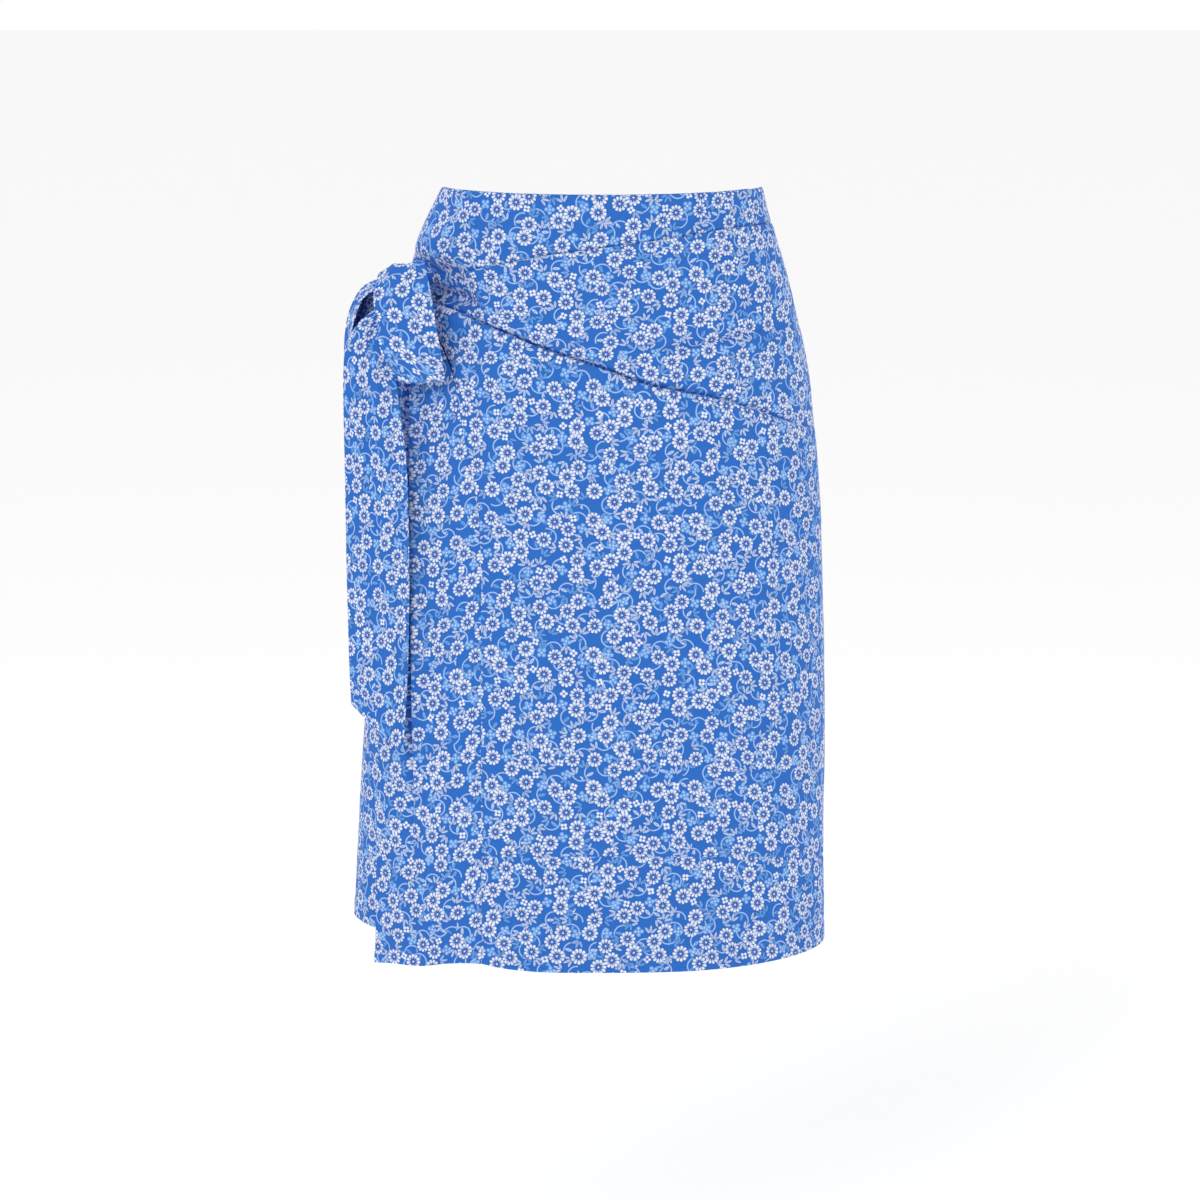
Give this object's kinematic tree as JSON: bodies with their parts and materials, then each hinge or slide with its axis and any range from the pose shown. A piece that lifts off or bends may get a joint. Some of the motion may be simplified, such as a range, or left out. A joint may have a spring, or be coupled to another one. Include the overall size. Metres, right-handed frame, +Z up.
{
  "type": "wrap skirt",
  "caption": "Knee-length wrap skirt in small-flower printed cotton, shown worn, with its own tie in a bow at one hip.",
  "frame": {"origin": "middle of the waist opening, level with the front of the waist edge", "axes": "+Z up out of the waist, the front faces -Y, the bow is on the -X side, millimetre source, metres in the row"},
  "size_m": [0.405, 0.2546, 0.6518],
  "materials": {
    "skirt_cotton": "matt woven cotton, small white flowers on blue",
    "tie_cotton": "matt woven cotton, small white flowers on blue"
  },
  "bodies": {
    "root": {"back_panel": "skirt_cotton", "under_front_panel": "skirt_cotton", "front_panel": "skirt_cotton", "front_edge_band": "skirt_cotton", "front_hem_band": "skirt_cotton", "waistband_front": "skirt_cotton", "waistband_under": "skirt_cotton", "waistband_back": "skirt_cotton", "tie_knot": "tie_cotton", "tie_front_loop": "tie_cotton", "tie_back_loop": "tie_cotton", "tie_front_tail": "tie_cotton", "tie_back_tail": "tie_cotton"}
  },
  "joints": []
}
